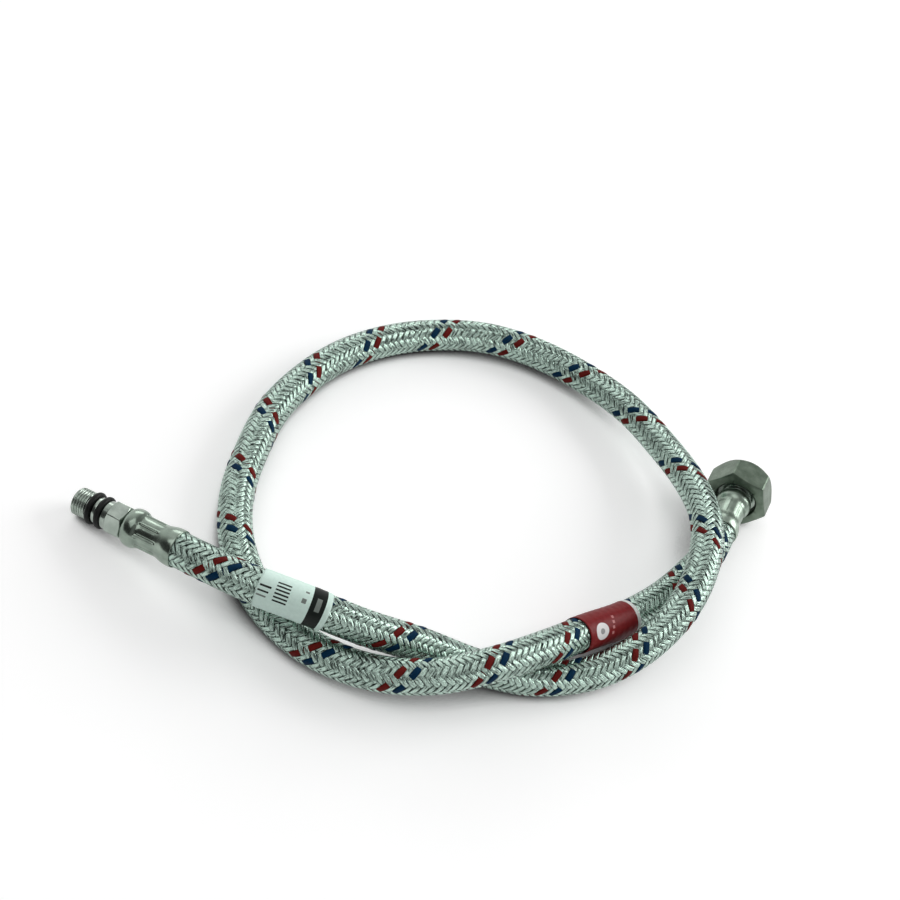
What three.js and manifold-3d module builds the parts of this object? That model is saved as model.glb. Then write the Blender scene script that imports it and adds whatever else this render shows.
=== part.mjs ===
// Flexible braided tap connector: a rubber tube in a steel braid, laid in one loose loop,
// with a short M10 tail at one end and a G1/2 swivel nut at the other.
// Millimetres, +Z up. The hose, the nut and the tail's tip lie on the plane z = 0.

import * as THREE from "three";
import * as BufferGeometryUtils from "three/addons/utils/BufferGeometryUtils.js";
import Module from "manifold-3d";

const wasm = await Module();
wasm.setup();

// Hose section
const braidOuterDiameter = 12.5;
const braidThickness = 0.75;
const layerGap = 0.3;
const tubeWall = 1.2;
const sweepSides = 12;
const boreSides = 8;
const sweepSteps = 66;

// Crimped ends of the hose, squeezed between the insert and the ferrule's waist
const crimpedTubeWall = 0.8;
const crimpedBraidThickness = 0.35;
const fitGap = 0.25;
const hoseEndGap = 0.8;
const jointOverlap = 2;
const bandInset = 0.1;

// Ferrules
const ferruleLength = 20.6;
const ferruleWall = 0.5;
const ferruleRearRing = 4.2;
const ferruleRearTaper = 3.2;
const ferruleFrontRing = 4.9;
const ferruleFrontTaper = 1.4;
const ferruleEdge = 0.5;
const ferruleLipRadius = 4.2;
const ferruleLipThickness = 0.9;
const crimpRidgeCount = 8;
const crimpRidgeWidth = 1;
const crimpRidgeHeight = 0.3;

// Barbed insert, the same inside both ends
const insertRadius = 3.45;
const barbDepth = 0.4;
const barbPitch = 2.5;
const barbCrestStart = 0.7;
const barbCrestEnd = 0.8;
const waterBoreRadius = 2.5;

// Tail: hexagon, collar, two O-ring grooves and a short M10 thread
const tailHexAcrossFlats = 11;
const tailHexLength = 6.6;
const tailHexBevel = 0.6;
const tailHexTurn = 17;
const tailCollarRadius = 5;
const tailCollarLength = 2;
const grooveRadius = 3.6;
const oRingSection = 2;
const grooveSideGap = 0.3;
const landLength = 1.3;
const landRadius = 4.7;
const tailThreadRadius = 4.95;
const tailThreadLength = 6;
const tailThreadBevel = 0.7;

// Swivel nut, nipple and washer
const nutAcrossFlats = 23;
const nutLength = 12.2;
const nutBevelAngle = 50;
const nutSocketRadius = 9.3;
const nutMouthBevel = 1.1;
const nutFrontLand = 0.8;
const nutBackWall = 1.9;
const nutBackHoleGap = 0.95;
const nutBackHoleBevel = 0.8;
const nutOverFerrule = 0.7;
const nippleFlangeGap = 0.4;
const nippleFlangeThickness = 1.8;
const nippleNeckRadius = 5.6;
const washerHoleRadius = 5;
const washerThickness = 2;

// Wrap labels: where each starts and ends along the hose from the tail ferrule's mouth
const labelThickness = 0.3;
const whiteLabelStart = 30;
const whiteLabelEnd = 53.5;
const redLabelStart = 701.5;
const redLabelEnd = 731.5;

// Where the two ferrule mouths lie, and how the tail points
const tailMouthSpot = [-64.5, -89.3];
const tailMouthLift = 9.25;
const tailHeading = 175;
const tailDip = 14.6;
const nutMouthSpot = [93.8, 52.8];
const straightRun = 10;

// The hose's route between its straight ends: x, y and the lift of its centre line
// above where it has when the hose lies on the plane.
const route = [
  [-40.5, -90, 14],
  [-19.5, -86, 15],
  [0.5, -79, 11.5],
  [19.5, -69, 6],
  [40.5, -60.5, 1.5],
  [59, -51, 0.1],
  [76, -37, 3],
  [87, -20, 8.5],
  [92.5, 0.5, 15],
  [91.5, 23, 18.5],
  [85, 44.5, 17],
  [73.5, 63, 11.5],
  [58, 77.5, 7],
  [39.5, 88, 5],
  [19, 93.5, 2.5],
  [-3, 93, 1.5],
  [-24, 85.5, 1.5],
  [-42.5, 72, 0.5],
  [-56, 56, 0],
  [-66, 36.5, 0],
  [-71.5, 15, 0],
  [-73, -6.5, 0],
  [-69.5, -28.5, 0],
  [-63, -50.5, 0],
  [-51.5, -69, 0],
  [-34, -83, 0],
  [-13.5, -89.5, 1],
  [8, -88.5, 4],
  [28, -80, 8.5],
  [44, -65.5, 13],
  [56.5, -47.5, 13],
  [66.5, -28, 8.5],
  [77, -8.5, 4],
  [86, 11, 4],
  [92.2, 32.5, 5],
];

// The middle of the object's footprint, which becomes the origin
const footprintMiddle = [0.365, 1.85];

const turnedSides = 24;
const fullTurn = 2 * Math.PI;
const layRadius = braidOuterDiameter / 2;
const braidInnerRadius = layRadius - braidThickness;
const tubeOuterRadius = braidInnerRadius - layerGap;
const tubeInnerRadius = tubeOuterRadius - tubeWall;
const grooveWidth = oRingSection + 2 * grooveSideGap;
const up = new THREE.Vector3(0, 0, 1);

const steel = new THREE.MeshStandardMaterial({ color: 0xb4b9b5, roughness: 0.35, metalness: 0.9 });
const nickel = new THREE.MeshStandardMaterial({ color: 0x9aa197, roughness: 0.4, metalness: 0.95 });
const blackRubber = new THREE.MeshStandardMaterial({ color: 0x101211, roughness: 0.55, metalness: 0 });
const tubeRubber = new THREE.MeshStandardMaterial({ color: 0x1b1c1c, roughness: 0.8, metalness: 0 });
const fibre = new THREE.MeshStandardMaterial({ color: 0x2a2c2b, roughness: 0.75, metalness: 0 });
const whitePaper = new THREE.MeshStandardMaterial({ color: 0xe3ebe4, roughness: 0.6, metalness: 0 });
const redPaper = new THREE.MeshStandardMaterial({ color: 0x8f1a20, roughness: 0.5, metalness: 0 });

// Solids: three.js shapes for the forms, manifold-3d for joins and cuts

function solidFrom(geometry) {
  const bare = geometry.clone();
  bare.deleteAttribute("normal");
  bare.deleteAttribute("uv");
  const merged = BufferGeometryUtils.mergeVertices(bare, 1e-4);
  const vertProperties = new Float32Array(merged.attributes.position.array);
  const triVerts = new Uint32Array(merged.index.array);
  return new wasm.Manifold(new wasm.Mesh({ numProp: 3, vertProperties, triVerts }));
}

function geometryFrom(solid) {
  const { vertProperties, triVerts } = solid.getMesh();
  const geometry = new THREE.BufferGeometry();
  geometry.setAttribute("position", new THREE.BufferAttribute(vertProperties, 3));
  geometry.setIndex(new THREE.BufferAttribute(triVerts, 1));
  geometry.computeVertexNormals();
  return geometry;
}

function namedMesh(name, geometry, material) {
  const mesh = new THREE.Mesh(geometry, material);
  mesh.name = name;
  return mesh;
}

// A turned ring or bar about Z from [radius, z] corners, listed anticlockwise
function turned(corners, sides = turnedSides) {
  const closed = [...corners, corners[0]];
  const points = closed.map(([radius, z]) => new THREE.Vector2(radius, z));
  const geometry = new THREE.LatheGeometry(points, sides);
  geometry.rotateX(Math.PI / 2);
  return geometry;
}

function regularOutline(radius, sides) {
  const points = [];
  for (let corner = 0; corner < sides; corner += 1) {
    const angle = (corner / sides) * fullTurn;
    points.push(new THREE.Vector2(radius * Math.cos(angle), radius * Math.sin(angle)));
  }
  return points;
}

function hexagonalBar(acrossFlats, from, to, turn = 0) {
  const cornerRadius = acrossFlats / 2 / Math.cos(Math.PI / 6);
  const shape = new THREE.Shape(regularOutline(cornerRadius, 6));
  const geometry = new THREE.ExtrudeGeometry(shape, { depth: to - from, bevelEnabled: false });
  geometry.rotateZ(THREE.MathUtils.degToRad(turn));
  geometry.translate(0, 0, from);
  return geometry;
}

// A tube swept along a curve, with its own number of sides outside and inside
function sweptTube(curve, steps, outerRadius, innerRadius, innerSides) {
  const shape = new THREE.Shape(regularOutline(outerRadius, sweepSides));
  shape.holes.push(new THREE.Path(regularOutline(innerRadius, innerSides).reverse()));
  return new THREE.ExtrudeGeometry(shape, { steps, extrudePath: curve, bevelEnabled: false });
}

// Places: one frame at each ferrule's mouth, its Z running out along the fitting

const heading = THREE.MathUtils.degToRad(tailHeading);
const dip = THREE.MathUtils.degToRad(tailDip);
const tailDirection = new THREE.Vector3(
  Math.cos(heading) * Math.cos(dip),
  Math.sin(heading) * Math.cos(dip),
  -Math.sin(dip),
);
const tailMouth = new THREE.Vector3(...tailMouthSpot, layRadius + tailMouthLift);
const nutDirection = new THREE.Vector3(0, 1, 0);
const nutMouth = new THREE.Vector3(...nutMouthSpot, nutAcrossFlats / 2);

function fittingFrame(mouth, direction) {
  const frame = new THREE.Group();
  frame.position.copy(mouth);
  frame.quaternion.setFromUnitVectors(up, direction);
  return frame;
}

const hoseCurve = new THREE.CatmullRomCurve3([
  tailMouth,
  tailMouth.clone().addScaledVector(tailDirection, -straightRun),
  ...route.map(([x, y, lift]) => new THREE.Vector3(x, y, layRadius + lift)),
  nutMouth.clone().addScaledVector(nutDirection, -straightRun),
  nutMouth,
]);
hoseCurve.arcLengthDivisions = 2000;

// A stretch of the hose's centre line, between two distances along it
class HoseStretch extends THREE.Curve {
  constructor(from, to) {
    super();
    this.from = from / hoseCurve.getLength();
    this.to = to / hoseCurve.getLength();
  }

  getPoint(t, target = new THREE.Vector3()) {
    return hoseCurve.getPointAt(THREE.MathUtils.lerp(this.from, this.to, t), target);
  }
}

// Stations and radii that the hose's ends, the ferrules and the inserts share, each measured
// along or about the fitting from the ferrule's mouth
const crimpedTubeBore = insertRadius + fitGap;
const crimpedTubeRadius = crimpedTubeBore + crimpedTubeWall;
const crimpedBraidBore = crimpedTubeRadius + fitGap;
const crimpedBraidRadius = crimpedBraidBore + crimpedBraidThickness;
const ringRadius = layRadius + ferruleWall;
const waistRadius = crimpedBraidRadius + fitGap + ferruleWall;
const ferruleStart = layerGap;
const ferruleFront = ferruleStart + ferruleLength;
const waistStart = ferruleStart + ferruleRearRing + ferruleRearTaper;
const waistEnd = ferruleFront - ferruleFrontRing - ferruleFrontTaper;
const lipStart = ferruleFront - ferruleLipThickness;
const hoseInsertion = lipStart - hoseEndGap;

// Hose

// One crimped end of a hose layer, in the frame of its ferrule's mouth. Its first stretch
// lies inside the wall of the swept layer, which it joins.
function crimpedEnd(bandOuter, bandInner, outer, inner) {
  const waist = ferruleRearRing + ferruleRearTaper;
  return turned([
    [bandInner, -jointOverlap],
    [bandOuter, -jointOverlap],
    [bandOuter, ferruleRearRing],
    [outer, waist],
    [outer, hoseInsertion],
    [inner, hoseInsertion],
    [inner, waist],
    [bandInner, ferruleRearRing],
  ]);
}

function hoseLayer(swept, end) {
  const frames = [fittingFrame(tailMouth, tailDirection), fittingFrame(nutMouth, nutDirection)];
  let layer = solidFrom(swept);
  for (const frame of frames) {
    frame.updateMatrixWorld();
    layer = layer.add(solidFrom(end.clone().applyMatrix4(frame.matrixWorld)));
  }
  return geometryFrom(layer);
}

function braidSleeve() {
  const flatRadius = layRadius * Math.cos(Math.PI / sweepSides);
  const bandOuter = flatRadius - bandInset;
  const bandInner = bandOuter - crimpedBraidThickness;
  const swept = sweptTube(hoseCurve, sweepSteps, layRadius, braidInnerRadius, sweepSides);
  return hoseLayer(swept, crimpedEnd(bandOuter, bandInner, crimpedBraidRadius, crimpedBraidBore));
}

function innerTube() {
  const flatRadius = tubeOuterRadius * Math.cos(Math.PI / sweepSides);
  const bandOuter = flatRadius - bandInset;
  const bandInner = tubeInnerRadius + 2 * bandInset;
  const swept = sweptTube(hoseCurve, sweepSteps, tubeOuterRadius, tubeInnerRadius, boreSides);
  return hoseLayer(swept, crimpedEnd(bandOuter, bandInner, crimpedTubeRadius, crimpedTubeBore));
}

// Ferrule: two rings and a crimped waist, with a lip that hooks behind the insert's shoulder
function ferrule() {
  const ring = ringRadius;
  const waist = waistRadius;
  const rearEnd = ferruleStart + ferruleRearRing;
  const sleeve = turned([
    [ring - ferruleWall, ferruleStart],
    [ring - ferruleEdge / 2, ferruleStart],
    [ring, ferruleStart + ferruleEdge],
    [ring, rearEnd - ferruleEdge],
    [waist, waistStart],
    [waist, waistEnd],
    [ring, waistEnd + ferruleFrontTaper],
    [ring, lipStart],
    [ring - ferruleLipThickness, ferruleFront],
    [ferruleLipRadius, ferruleFront],
    [ferruleLipRadius, lipStart],
    [ring - ferruleWall, lipStart],
    [ring - ferruleWall, waistEnd + ferruleFrontTaper],
    [waist - ferruleWall, waistEnd],
    [waist - ferruleWall, waistStart],
    [ring - ferruleWall, rearEnd - ferruleEdge],
  ]);
  let solid = solidFrom(sleeve);
  const ridgeDepth = crimpRidgeHeight + ferruleWall / 2;
  const ridgeRadius = waist + crimpRidgeHeight - ridgeDepth / 2;
  for (let ridge = 0; ridge < crimpRidgeCount; ridge += 1) {
    const bar = new THREE.BoxGeometry(ridgeDepth, crimpRidgeWidth, waistEnd - waistStart);
    bar.translate(ridgeRadius, 0, (waistStart + waistEnd) / 2);
    bar.rotateZ(((ridge + 0.5) / crimpRidgeCount) * fullTurn);
    solid = solid.add(solidFrom(bar));
  }
  return geometryFrom(solid);
}

// Barbed insert: the corners of its outside, from inside the hose up to the ferrule's lip
function insertCorners() {
  const corners = [[waterBoreRadius, ferruleStart], [insertRadius - barbDepth, ferruleStart]];
  const firstBarb = waistStart - barbPitch;
  const insertEnd = hoseInsertion + fitGap;
  const barbCount = Math.floor((insertEnd - firstBarb) / barbPitch + 1 - barbCrestEnd);
  for (let barb = 0; barb < barbCount; barb += 1) {
    const start = firstBarb + barb * barbPitch;
    corners.push([insertRadius - barbDepth, start]);
    corners.push([insertRadius, start + barbPitch * barbCrestStart]);
    corners.push([insertRadius, start + barbPitch * barbCrestEnd]);
  }
  const neck = ferruleLipRadius - fitGap;
  corners.push([insertRadius - barbDepth, insertEnd]);
  corners.push([neck, insertEnd]);
  corners.push([neck, ferruleFront + fitGap]);
  return corners;
}

// Tail fitting, from the ferrule outwards

const tailHexStart = ferruleFront + fitGap;
const tailCollarStart = tailHexStart + tailHexLength;
const rearGrooveStart = tailCollarStart + tailCollarLength;
const frontGrooveStart = rearGrooveStart + grooveWidth + landLength;
const tailThreadStart = frontGrooveStart + grooveWidth;
const tailTip = tailThreadStart + tailThreadLength;

function tailFitting() {
  const hexCorner = tailHexAcrossFlats / 2 / Math.cos(Math.PI / 6);
  const hexRound = tailHexAcrossFlats / 2;
  const turnedBody = turned([
    ...insertCorners(),
    [tailCollarRadius, tailHexStart],
    [tailCollarRadius, rearGrooveStart],
    [grooveRadius, rearGrooveStart],
    [grooveRadius, rearGrooveStart + grooveWidth],
    [landRadius, rearGrooveStart + grooveWidth],
    [landRadius, frontGrooveStart],
    [grooveRadius, frontGrooveStart],
    [grooveRadius, tailThreadStart],
    [tailThreadRadius, tailThreadStart],
    [tailThreadRadius, tailTip - tailThreadBevel],
    [tailThreadRadius - tailThreadBevel, tailTip],
    [waterBoreRadius, tailTip],
  ]);
  const bevelled = turned([
    [0, tailHexStart],
    [hexRound, tailHexStart],
    [hexCorner + 0.1, tailHexStart + tailHexBevel],
    [hexCorner + 0.1, tailCollarStart - tailHexBevel],
    [hexRound, tailCollarStart],
    [0, tailCollarStart],
  ]);
  const bore = turned([
    [0, tailHexStart - 1],
    [waterBoreRadius + 0.5, tailHexStart - 1],
    [waterBoreRadius + 0.5, tailCollarStart + 1],
    [0, tailCollarStart + 1],
  ]);
  const hexagon = solidFrom(hexagonalBar(tailHexAcrossFlats, tailHexStart, tailCollarStart, tailHexTurn));
  return geometryFrom(solidFrom(turnedBody).add(hexagon.intersect(solidFrom(bevelled)).subtract(solidFrom(bore))));
}

function oRing(grooveStart) {
  const ring = grooveRadius + fitGap + oRingSection / 2;
  const geometry = new THREE.TorusGeometry(ring, oRingSection / 2, 10, turnedSides);
  geometry.translate(0, 0, grooveStart + grooveWidth / 2);
  return geometry;
}

// Swivel nut, nipple and washer, in the frame of the nut ferrule's mouth

const nutBack = ferruleFront - nutOverFerrule;
const nutFront = nutBack + nutLength;
const flangeBack = nutBack + nutBackWall + fitGap;
const flangeFront = flangeBack + nippleFlangeThickness;
const washerBack = flangeFront + fitGap;
const washerFront = washerBack + washerThickness;
const nutBackHoleRadius = ringRadius + nutBackHoleGap;
const nippleFlangeRadius = nutSocketRadius - nippleFlangeGap;
const nutFrontRadius = nutSocketRadius + nutMouthBevel + nutFrontLand;

function swivelNut() {
  const wide = nutAcrossFlats;
  const bevelDrop = (wide - nutFrontRadius) * Math.tan(THREE.MathUtils.degToRad(nutBevelAngle));
  const socketStart = nutBack + nutBackWall;
  const envelope = turned([
    [0, nutBack - 1],
    [wide, nutBack - 1],
    [wide, nutFront - bevelDrop],
    [nutFrontRadius, nutFront],
    [0, nutFront],
  ], 2 * turnedSides);
  const hollow = turned([
    [0, nutBack - 1],
    [nutBackHoleRadius + nutBackHoleBevel, nutBack - 1],
    [nutBackHoleRadius + nutBackHoleBevel, nutBack],
    [nutBackHoleRadius, nutBack + nutBackHoleBevel],
    [nutBackHoleRadius, socketStart],
    [nutSocketRadius, socketStart],
    [nutSocketRadius, nutFront - nutMouthBevel],
    [nutSocketRadius + nutMouthBevel, nutFront],
    [nutSocketRadius + nutMouthBevel, nutFront + 1],
    [0, nutFront + 1],
  ], 2 * turnedSides);
  const hexagon = solidFrom(hexagonalBar(nutAcrossFlats, nutBack, nutFront));
  return geometryFrom(hexagon.intersect(solidFrom(envelope)).subtract(solidFrom(hollow)));
}

function nutNipple() {
  return turned([
    ...insertCorners(),
    [nippleNeckRadius, ferruleFront + fitGap],
    [nippleNeckRadius, flangeBack],
    [nippleFlangeRadius, flangeBack],
    [nippleFlangeRadius, flangeFront],
    [waterBoreRadius, flangeFront],
  ]);
}

function sealingWasher() {
  return turned([
    [washerHoleRadius, washerBack],
    [nippleFlangeRadius, washerBack],
    [nippleFlangeRadius, washerFront],
    [washerHoleRadius, washerFront],
  ]);
}

// A paper label wrapped round the hose. It is swept with the hose's own steps, so that it
// lies evenly on them, and is then trimmed to its length.
function wrapLabel(from, to) {
  const innerRadius = (layRadius + fitGap) / Math.cos(Math.PI / sweepSides);
  const stepLength = hoseCurve.getLength() / sweepSteps;
  const firstStep = Math.floor(from / stepLength);
  const lastStep = Math.ceil(to / stepLength);
  const stretch = new HoseStretch(firstStep * stepLength, lastStep * stepLength);
  const outerRadius = innerRadius + labelThickness;
  let label = solidFrom(sweptTube(stretch, lastStep - firstStep, outerRadius, innerRadius, sweepSides));
  for (const [distance, side] of [[from, 1], [to, -1]]) {
    const along = distance / hoseCurve.getLength();
    const normal = hoseCurve.getTangentAt(along).multiplyScalar(side);
    label = label.trimByPlane(normal.toArray(), normal.dot(hoseCurve.getPointAt(along)));
  }
  return geometryFrom(label);
}

// Assembly

const connector = new THREE.Group();
connector.position.set(-footprintMiddle[0], -footprintMiddle[1], 0);

const tail = fittingFrame(tailMouth, tailDirection);
tail.add(namedMesh("tail_ferrule", ferrule(), nickel));
tail.add(namedMesh("tail_fitting", tailFitting(), nickel));
tail.add(namedMesh("tail_o_ring_rear", oRing(rearGrooveStart), blackRubber));
tail.add(namedMesh("tail_o_ring_front", oRing(frontGrooveStart), blackRubber));

const nutEnd = fittingFrame(nutMouth, nutDirection);
nutEnd.add(namedMesh("nut_ferrule", ferrule(), nickel));
nutEnd.add(namedMesh("nut_nipple", nutNipple(), nickel));
nutEnd.add(namedMesh("sealing_washer", sealingWasher(), fibre));
nutEnd.add(namedMesh("swivel_nut", swivelNut(), nickel));

connector.add(
  namedMesh("braid_sleeve", braidSleeve(), steel),
  namedMesh("inner_tube", innerTube(), tubeRubber),
  namedMesh("white_label", wrapLabel(whiteLabelStart, whiteLabelEnd), whitePaper),
  namedMesh("red_label", wrapLabel(redLabelStart, redLabelEnd), redPaper),
  tail,
  nutEnd,
);

export default connector;
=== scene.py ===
# The looks of a flexible braided tap connector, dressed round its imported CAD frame:
# wire carriers woven over the rubber tube, crimped ferrules, a grooved and threaded tail,
# a swivel nut with its thread, and two wrap labels.
# Lengths are in millimetres until a mesh is made, and in metres in materials and lamps.
# Named angles are in degrees, apart from the tail's heading and dip.

import math

import bpy
import numpy as np
from mathutils import Matrix, Vector


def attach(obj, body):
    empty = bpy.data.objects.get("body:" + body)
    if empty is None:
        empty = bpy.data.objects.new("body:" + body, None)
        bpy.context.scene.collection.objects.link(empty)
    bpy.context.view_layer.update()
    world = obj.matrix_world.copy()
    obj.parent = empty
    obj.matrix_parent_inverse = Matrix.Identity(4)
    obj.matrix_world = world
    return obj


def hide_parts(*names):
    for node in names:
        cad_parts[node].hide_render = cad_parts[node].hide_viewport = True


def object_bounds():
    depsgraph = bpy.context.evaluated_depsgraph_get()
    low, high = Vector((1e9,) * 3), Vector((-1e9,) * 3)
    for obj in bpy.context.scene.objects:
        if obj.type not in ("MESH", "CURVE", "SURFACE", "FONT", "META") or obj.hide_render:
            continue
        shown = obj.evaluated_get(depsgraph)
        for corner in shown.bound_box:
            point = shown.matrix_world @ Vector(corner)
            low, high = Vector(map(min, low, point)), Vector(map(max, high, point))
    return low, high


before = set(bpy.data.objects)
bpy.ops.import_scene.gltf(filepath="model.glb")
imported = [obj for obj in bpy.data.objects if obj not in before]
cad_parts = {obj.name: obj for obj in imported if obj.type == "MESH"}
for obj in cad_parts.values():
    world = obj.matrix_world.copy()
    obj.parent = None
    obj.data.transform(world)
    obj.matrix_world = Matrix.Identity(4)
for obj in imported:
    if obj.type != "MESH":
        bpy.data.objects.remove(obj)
cad_low, cad_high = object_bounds()

MM = 0.001
FULL_TURN = 360.0

# The hose's route, as the CAD has it: x, y and the lift of its centre line above a hose
# that lies on the floor
HOSE_RADIUS = 6.25
FOOTPRINT_MIDDLE = np.array([0.365, 1.85, 0.0])
TAIL_MOUTH = np.array([-64.5, -89.3, HOSE_RADIUS + 9.25])
TAIL_HEADING = math.radians(175.0)
TAIL_DIP = math.radians(14.6)
NUT_MOUTH = np.array([93.8, 52.8, 11.5])
NUT_DIRECTION = np.array([0.0, 1.0, 0.0])
STRAIGHT_RUN = 10.0
CURVE_STEPS = 8000
# How finely the line is read, and how far it goes on straight past each mouth
LINE_SPACING = 0.25
SPARE_RUN = 20.0
ROUTE = [
    (-40.5, -90, 14), (-19.5, -86, 15), (0.5, -79, 11.5), (19.5, -69, 6),
    (40.5, -60.5, 1.5), (59, -51, 0.1), (76, -37, 3), (87, -20, 8.5),
    (92.5, 0.5, 15), (91.5, 23, 18.5), (85, 44.5, 17), (73.5, 63, 11.5),
    (58, 77.5, 7), (39.5, 88, 5), (19, 93.5, 2.5), (-3, 93, 1.5),
    (-24, 85.5, 1.5), (-42.5, 72, 0.5), (-56, 56, 0), (-66, 36.5, 0),
    (-71.5, 15, 0), (-73, -6.5, 0), (-69.5, -28.5, 0), (-63, -50.5, 0),
    (-51.5, -69, 0), (-34, -83, 0), (-13.5, -89.5, 1), (8, -88.5, 4),
    (28, -80, 8.5), (44, -65.5, 13), (56.5, -47.5, 13), (66.5, -28, 8.5),
    (77, -8.5, 4), (86, 11, 4), (92.2, 32.5, 5),
]

# Braid: twelve carriers each way, over two and under two
CARRIERS_EACH_WAY = 12
CARRIER_WIDTH = 1.8
CARRIER_CROWN = 0.09
TRACER_WIDTH = 2.35
TRACER_CROWN = 0.2
CARRIER_LIFT = 0.12
CARRIER_RADIUS = 6.02
WEAVE_STEEPNESS = 2.2
SAMPLES_PER_TURN = 60
WIRES_PER_CARRIER = 6
# The carrier's points across its width, from one edge to the other
CARRIER_COLUMNS = (-1.0, -0.5, 0.0, 0.5, 1.0)
# Just under one, so that the far edge still reads as the last wire
CARRIER_UV_WIDTH = 0.999
# How far apart, in turns, the carriers read the noise that shades their wires
CARRIER_STEP = 37.3
# How far the braid goes on inside each ferrule
BRAID_END = 2.5
TUBE_RADIUS = 5.68
TUBE_BORE = 4.0
TUBE_SIDES = 32
TUBE_STATIONS = 320
# Inside a ferrule: where the tube starts and ends its taper, and its narrowed section
CRIMP_START = 5.6
CRIMP_LINE = 6.0
CRIMP_END = 7.2
CRIMPED_RUN = 19.0
CRIMPED_RADIUS = 4.5
CRIMPED_BORE = 3.75
RED_CARRIER = 0
BLUE_CARRIER = 2
# How many turns the red tracer has made at distances along the hose, from the places
# where it shows in the photograph
TRACER_LAY = [
    (-20, -1.21), (15.9, -0.033), (139.7, 3.933), (169.9, 4.917), (231, 7.075),
    (268.4, 8.067), (332.7, 10.075), (395.4, 12.083), (461.3, 14.083), (493.1, 15.067),
    (521.6, 16.042), (549.4, 17.092), (656.6, 20.783), (691.6, 21.925), (820, 26.09),
]
# The hose's own twist, in degrees, which turns the columns of the weave
HOSE_TWIST = [(-20, -20), (10, -20), (140, -6), (200, 0), (820, 0)]

# Ferrules, from the hose's mouth outwards
FERRULE_BACK = 0.3
FERRULE_FRONT = 20.9
RING_RADIUS = 6.75
WAIST_RADIUS = 5.85
FERRULE_WALL = 0.5
FERRULE_SIDES = 192
WAIST_BACK = 7.7
WAIST_FRONT = 14.6
# Where the inside leaves the back ring and meets the front one
BACK_RING_INSIDE = 3.6
FRONT_RING_INSIDE = 16.6
# Its outside, as (distance from the mouth, radius)
FERRULE_OUTLINE = [
    (0.75, 6.68), (1.6, 6.73), (2.8, 6.73), (3.8, 6.62), (4.8, 6.4), (5.8, 6.12),
    (6.8, 5.9), (7.7, 5.8), (9.0, 5.78), (13.0, 5.8), (14.6, 5.85), (15.2, 5.98),
    (15.8, 6.3), (16.4, 6.6), (17.2, 6.8), (18.2, 6.86), (19.1, 6.78), (19.8, 6.55),
    (20.3, 6.25), (20.65, 5.9), (20.85, 5.5), (20.9, 5.1),
]
# How closely its outside is drawn, as runs of (from, to, number of rows)
FERRULE_RUNS = [(0.75, 14.6, 41), (14.8, 19.8, 26), (19.9, 20.9, 14)]
LIP_RADIUS = 4.2
LIP_THICKNESS = 0.9
RIDGE_COUNT = 8
RIDGE_HEIGHT = 0.4
RIDGE_WIDTH = 0.38
RIDGE_GROOVE = 0.28
RIDGE_GROOVE_SPREAD = 2.2
RIDGE_FADE = 0.9
TAIL_RIDGES = 1.0
NUT_RIDGES = 0.2

# Insert, tail, nipple, washer and nut, as the CAD has them
FITTING_SIDES = 96
BORE = 2.5
INSERT_RADIUS = 3.45
BARB_DEPTH = 0.4
BARB_PITCH = 2.5
BARB_COUNT = 5
# Where on its pitch a barb reaches its full radius, and where it drops again
BARB_RISE = 0.7
BARB_DROP = 0.8
INSERT_END = 19.45
NECK_RADIUS = 3.95
HEX_BACK = 21.15
HEX_FRONT = 27.75
HEX_APOTHEM = 5.5
HEX_TURN = 17.0
HEX_CORNER = 0.5
HEX_BEVEL = 0.3
HEX_BEVEL_SLOPE = 0.63
HEX_EDGE_BREAK = 0.15
COLLAR_RADIUS = 5.0
REAR_GROOVE = 29.75
GROOVE_WIDTH = 2.6
GROOVE_RADIUS = 3.6
LAND_RADIUS = 4.7
LAND_LENGTH = 1.3
O_RING_SECTION = 1.0
O_RING_RADIUS = 4.85
O_RING_SIDES = 20
THREAD_START = 36.25
TAIL_TIP = 42.25
TAIL_THREAD_RADIUS = 4.95
TAIL_THREAD_DEPTH = 0.55
TAIL_THREAD_PITCH = 1.0
TAIL_THREAD_STEP = 0.125
NUT_BACK = 20.2
NUT_FRONT = 32.4
NUT_APOTHEM = 11.5
NUT_SIDES = 144
NUT_CORNER = 1.0
NUT_EDGE_BREAK = 0.3
NUT_BACK_BEVEL = 0.5
NUT_BACK_BEVEL_SLOPE = 0.35
NUT_FRONT_RADIUS = 11.2
NUT_FRONT_EASE = 0.2
NUT_BEVEL_ANGLE = 50.0
NUT_BACK_WALL = 1.9
NUT_HOLE = 7.7
NUT_HOLE_BEVEL = 0.8
NUT_SOCKET = 9.3
NUT_THREAD_DEPTH = 0.95
NUT_THREAD_PITCH = 1.814
NUT_THREAD_STEP = 0.18
NUT_THREAD_START = 24.6
NUT_MOUTH_BEVEL = 1.1
FLANGE_BACK = 22.35
FLANGE_FRONT = 24.15
FLANGE_RADIUS = 8.9
NIPPLE_NECK = 5.6
WASHER_BACK = 24.4
WASHER_FRONT = 26.4
WASHER_HOLE = 5.0

# Hexagons: degrees about each corner where one has points, and how much of its bevel's
# end is rounded off
CORNER_STEPS = (-3.4, -2.5, -1.6, -0.8, 0, 0.8, 1.6, 2.5, 3.4)
BEVEL_SOFT_SHARE = 0.12
BEVEL_LEAST_REACH = 0.02
EDGE_BREAK_SHARE = 0.3
# Threads: how steep and how wide the groove is, and how deep it is at its ends
THREAD_STEEPNESS = 1.6
THREAD_CREST_WIDTH = 1.35
THREAD_END_DEPTH = 0.15
# Shares of the way along a fillet's arc
ARC_SHARES = (0.0, 0.25, 0.5, 0.75, 1.0)

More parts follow.
